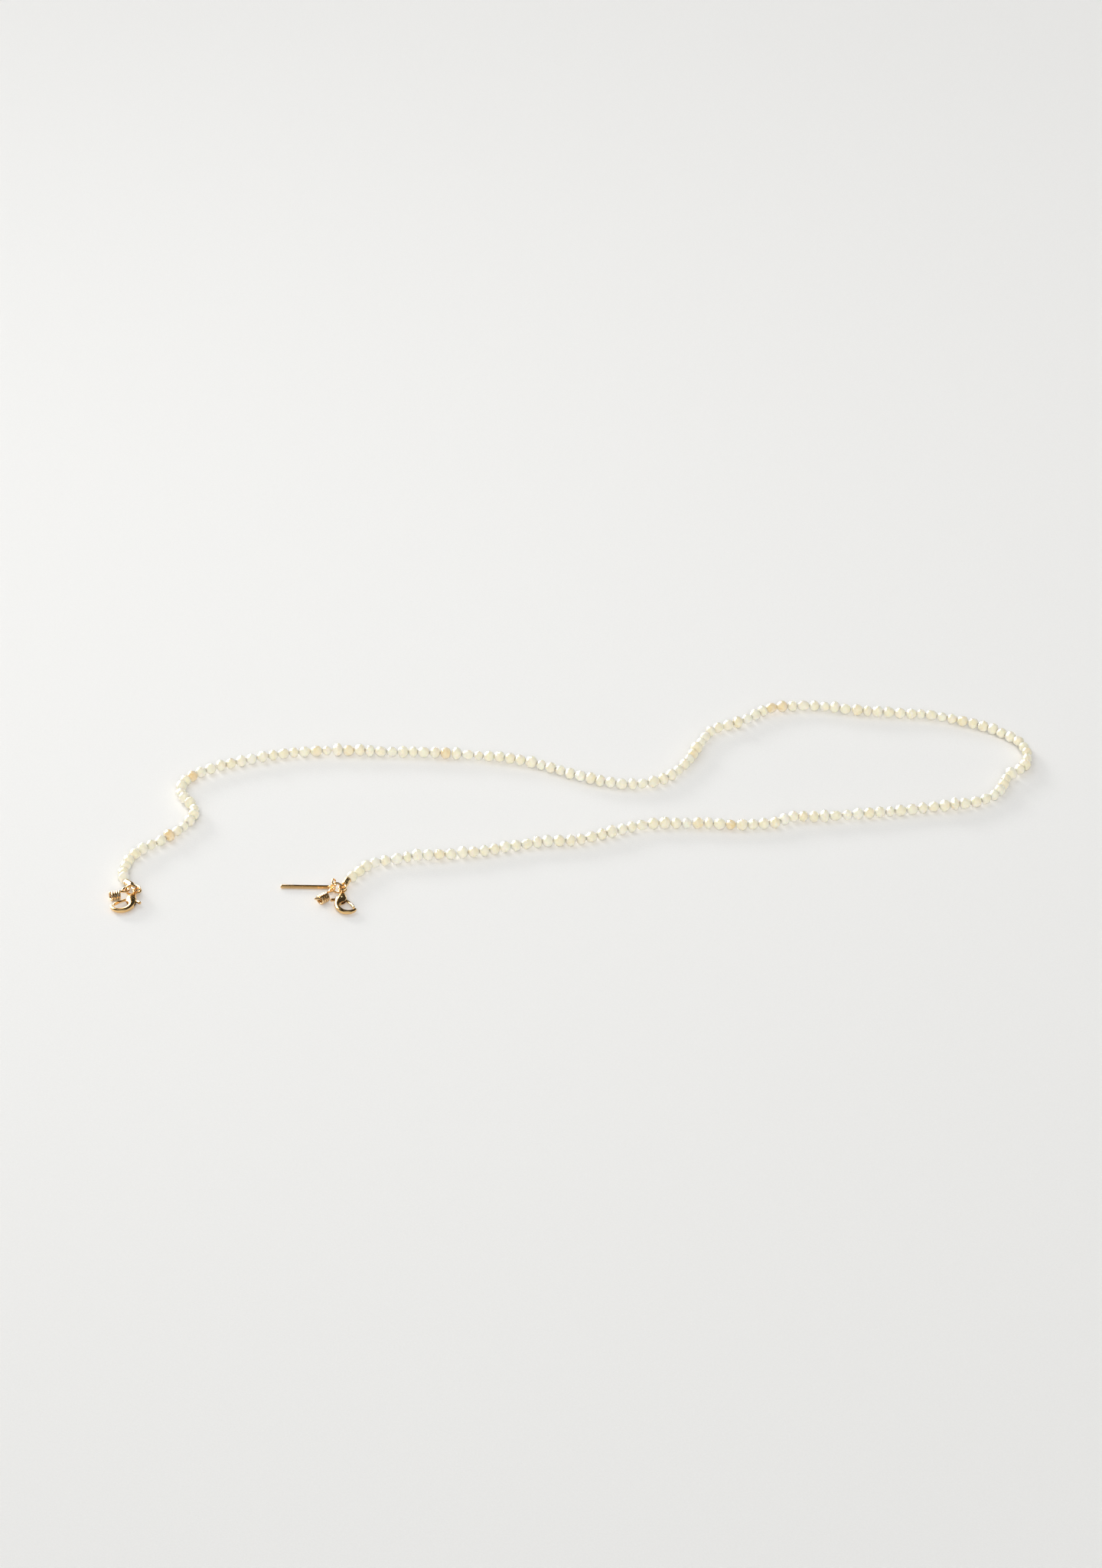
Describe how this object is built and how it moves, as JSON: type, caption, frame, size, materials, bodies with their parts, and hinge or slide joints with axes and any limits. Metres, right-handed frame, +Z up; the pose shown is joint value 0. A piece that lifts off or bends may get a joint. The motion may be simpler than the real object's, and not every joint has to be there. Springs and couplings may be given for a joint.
{
  "type": "pearl necklace",
  "caption": "Long strand of small cream pearls on silk, lying as an open loop; each end has a gold cap, jump ring, lobster clasp and wound coil, and one end a bar drop.",
  "frame": {"origin": "middle of the necklace's footprint, on the table top it lies on", "axes": "+X along the long side of the loop, +Y away from the two loose ends, +Z up from the table"},
  "size_m": [0.2102, 0.0826, 0.0038],
  "materials": {
    "pearl": "lustrous",
    "silk": "twisted thread",
    "gold": "polished, gold plated",
    "spring_steel": "bright"
  },
  "bodies": {
    "run_01": {"pearls_01": "pearl", "silk_01": "silk"},
    "run_02": {"pearls_02": "pearl", "silk_02": "silk"},
    "run_03": {"pearls_03": "pearl", "silk_03": "silk"},
    "run_04": {"pearls_04": "pearl", "silk_04": "silk"},
    "run_05": {"pearls_05": "pearl", "silk_05": "silk"},
    "run_06": {"pearls_06": "pearl", "silk_06": "silk"},
    "run_07": {"pearls_07": "pearl", "silk_07": "silk"},
    "run_08": {"pearls_08": "pearl", "silk_08": "silk"},
    "run_09": {"pearls_09": "pearl", "silk_09": "silk"},
    "run_10": {"pearls_10": "pearl", "silk_10": "silk"},
    "run_11": {"pearls_11": "pearl", "silk_11": "silk"},
    "run_12": {"pearls_12": "pearl", "silk_12": "silk"},
    "run_13": {"pearls_13": "pearl", "silk_13": "silk"},
    "run_14": {"pearls_14": "pearl", "silk_14": "silk"},
    "run_15": {"pearls_15": "pearl", "silk_15": "silk"},
    "run_16": {"pearls_16": "pearl", "silk_16": "silk"},
    "cap_left": {"end_cap_left": "gold", "silk_knot_left": "silk"},
    "ring_left": {"jump_ring_left": "gold"},
    "clasp_left": {"clasp_left_claw": "gold", "clasp_left_pin": "gold", "clasp_left_spring": "spring_steel"},
    "lever_left": {"clasp_left_lever": "gold"},
    "coil_left": {"coil_left": "gold"},
    "cap_right": {"end_cap_right": "gold", "silk_knot_right": "silk"},
    "ring_right": {"jump_ring_right": "gold"},
    "clasp_right": {"clasp_right_claw": "gold", "clasp_right_pin": "gold", "clasp_right_spring": "spring_steel"},
    "lever_right": {"clasp_right_lever": "gold"},
    "coil_right": {"coil_right": "gold"},
    "bar": {"bar_drop": "gold"}
  },
  "joints": [
    {"name": "strand_01_lift", "type": "hinge", "parent": "run_02", "child": "run_01", "pos_m": [-0.08845, -0.00754, 0.00136], "axis": [-0.8699, 0.4931, 0], "range_deg": [0, 20]},
    {"name": "strand_02_swing", "type": "hinge", "parent": "run_03", "child": "run_02", "pos_m": [-0.08278, 0.01497, 0.00136], "axis": [0, 0, -1], "range_deg": [-12, 25]},
    {"name": "strand_03_lift", "type": "hinge", "parent": "run_04", "child": "run_03", "pos_m": [-0.05625, 0.02169, 0.00136], "axis": [-0.0404, 0.9992, 0], "range_deg": [0, 20]},
    {"name": "strand_04_swing", "type": "hinge", "parent": "run_05", "child": "run_04", "pos_m": [-0.02873, 0.02038, 0.00136], "axis": [0, 0, -1], "range_deg": [-4, 25]},
    {"name": "strand_05_lift", "type": "hinge", "parent": "run_06", "child": "run_05", "pos_m": [-0.00251, 0.01293, 0.00136], "axis": [0.486, 0.874, 0], "range_deg": [0, 20]},
    {"name": "strand_06_swing", "type": "hinge", "parent": "run_07", "child": "run_06", "pos_m": [0.02268, 0.01273, 0.00136], "axis": [0, 0, -1], "range_deg": [-3, 25]},
    {"name": "strand_07_lift", "type": "hinge", "parent": "run_08", "child": "run_07", "pos_m": [0.0387, 0.03358, 0.00136], "axis": [-0.5395, 0.842, 0], "range_deg": [0, 20]},
    {"name": "strand_08_swing", "type": "hinge", "parent": "run_09", "child": "run_08", "pos_m": [0.06405, 0.03834, 0.00136], "axis": [0, 0, -1], "range_deg": [-2, 25]},
    {"name": "strand_10_swing", "type": "hinge", "parent": "run_09", "child": "run_10", "pos_m": [0.09096, 0.03314, 0.00136], "axis": [0, 0, 1], "range_deg": [-2, 25]},
    {"name": "strand_11_lift", "type": "hinge", "parent": "run_10", "child": "run_11", "pos_m": [0.10081, 0.01315, 0.00136], "axis": [-0.4906, 0.8714, 0], "range_deg": [0, 20]},
    {"name": "strand_12_swing", "type": "hinge", "parent": "run_11", "child": "run_12", "pos_m": [0.08007, -0.00108, 0.00136], "axis": [0, 0, 1], "range_deg": [-2, 25]},
    {"name": "strand_13_lift", "type": "hinge", "parent": "run_12", "child": "run_13", "pos_m": [0.05278, -0.00479, 0.00136], "axis": [-0.0165, 0.9999, 0], "range_deg": [0, 20]},
    {"name": "strand_14_swing", "type": "hinge", "parent": "run_13", "child": "run_14", "pos_m": [0.02623, -0.00736, 0.00136], "axis": [0, 0, 1], "range_deg": [-4, 25]},
    {"name": "strand_15_lift", "type": "hinge", "parent": "run_14", "child": "run_15", "pos_m": [-0.00009, -0.01396, 0.00136], "axis": [-0.1985, 0.9801, 0], "range_deg": [0, 20]},
    {"name": "strand_16_swing", "type": "hinge", "parent": "run_15", "child": "run_16", "pos_m": [-0.02704, -0.01913, 0.00136], "axis": [0, 0, 1], "range_deg": [-8, 25]},
    {"name": "cap_left_turn", "type": "hinge", "parent": "run_01", "child": "cap_left", "pos_m": [-0.10136, -0.02999, 0.00136], "axis": [0, 0, 1], "range_deg": [-25, 10]},
    {"name": "ring_left_turn", "type": "hinge", "parent": "cap_left", "child": "ring_left", "pos_m": [-0.09846, -0.03333, 0.00156], "axis": [0, 0, 1], "range_deg": [-6, 25]},
    {"name": "clasp_left_turn", "type": "hinge", "parent": "ring_left", "child": "clasp_left", "pos_m": [-0.09846, -0.03333, 0.00156], "axis": [0, 0, 1], "range_deg": [-8, 25]},
    {"name": "lever_left_open", "type": "hinge", "parent": "clasp_left", "child": "lever_left", "pos_m": [-0.09987, -0.03654, 0.00108], "axis": [-0.0238, -0.0466, 0.9986], "range_deg": [0, 20]},
    {"name": "coil_left_turn", "type": "hinge", "parent": "ring_left", "child": "coil_left", "pos_m": [-0.10106, -0.03347, 0.00156], "axis": [0, 0, 1], "range_deg": [-20, 15]},
    {"name": "cap_right_turn", "type": "hinge", "parent": "run_16", "child": "cap_right", "pos_m": [-0.05126, -0.02909, 0.00136], "axis": [0, 0, 1], "range_deg": [-20, 20]},
    {"name": "ring_right_turn", "type": "hinge", "parent": "cap_right", "child": "ring_right", "pos_m": [-0.05251, -0.03292, 0.00156], "axis": [0, 0, 1], "range_deg": [-15, 20]},
    {"name": "clasp_right_turn", "type": "hinge", "parent": "ring_right", "child": "clasp_right", "pos_m": [-0.05251, -0.03292, 0.00156], "axis": [0, 0, 1], "range_deg": [-2, 25]},
    {"name": "lever_right_open", "type": "hinge", "parent": "clasp_right", "child": "lever_right", "pos_m": [-0.05246, -0.03642, 0.00108], "axis": [-0.0037, 0.0522, -0.9986], "range_deg": [0, 20]},
    {"name": "coil_right_turn", "type": "hinge", "parent": "ring_right", "child": "coil_right", "pos_m": [-0.05486, -0.03242, 0.00087], "axis": [-0.5183, 0.1102, 0.848], "range_deg": [-10, 3]},
    {"name": "bar_swing", "type": "hinge", "parent": "ring_right", "child": "bar", "pos_m": [-0.05433, -0.03253, 0.00273], "axis": [-0.8792, 0.1869, -0.4384], "range_deg": [-8, 4]}
  ]
}
